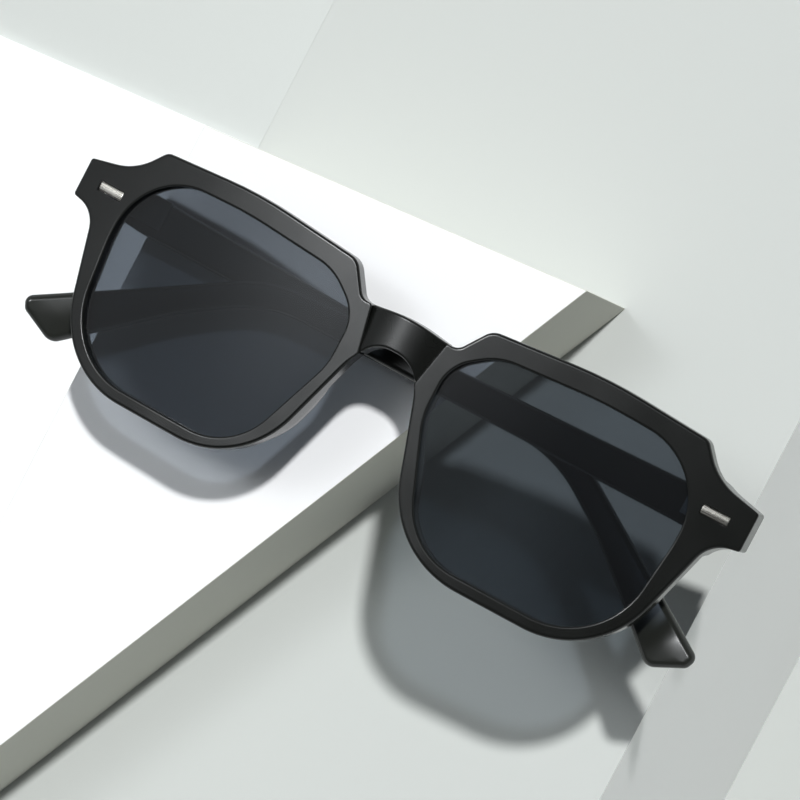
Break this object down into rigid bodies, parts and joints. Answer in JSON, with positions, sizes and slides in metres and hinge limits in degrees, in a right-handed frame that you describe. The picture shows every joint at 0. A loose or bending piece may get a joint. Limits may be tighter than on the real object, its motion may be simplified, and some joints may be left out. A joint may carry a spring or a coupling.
{
  "type": "square sunglasses",
  "caption": "Square full-rim sunglasses in satin black plastic with smoke lenses, a keyhole bridge, small rivet bars and hinged temples, lying folded with the lenses up.",
  "frame": {"origin": "middle of the footprint on the ground, with the sunglasses folded and lying on the left temple, lenses up", "axes": "+X to the right as seen from in front with the brow up, +Y towards the brow, +Z out of the lenses"},
  "size_m": [0.146, 0.0474, 0.0247],
  "materials": {
    "acetate": "satin",
    "tint": "tinted, clear enough to see through",
    "bright": "satin",
    "hinge": "satin",
    "screw": "bright"
  },
  "bodies": {
    "front": {"front_frame": "acetate", "lens_left": "tint", "lens_right": "tint", "rivet_plate_left": "bright", "rivet_plate_right": "bright", "front_leaf_left": "hinge", "front_leaf_right": "hinge", "hinge_screw_left": "screw", "hinge_screw_right": "screw"},
    "temple_left": {"temple_left": "acetate", "temple_leaf_left": "hinge"},
    "temple_right": {"temple_right": "acetate", "temple_leaf_right": "hinge"}
  },
  "joints": [
    {"name": "left_hinge", "type": "hinge", "parent": "front", "child": "temple_left", "pos_m": [-0.0676, 0.011, 0.0092], "axis": [0, 1, 0], "range_deg": [0, 87.5]},
    {"name": "right_hinge", "type": "hinge", "parent": "front", "child": "temple_right", "pos_m": [0.0676, 0.011, 0.0092], "axis": [0, -1, 0], "range_deg": [0, 91.3]}
  ]
}
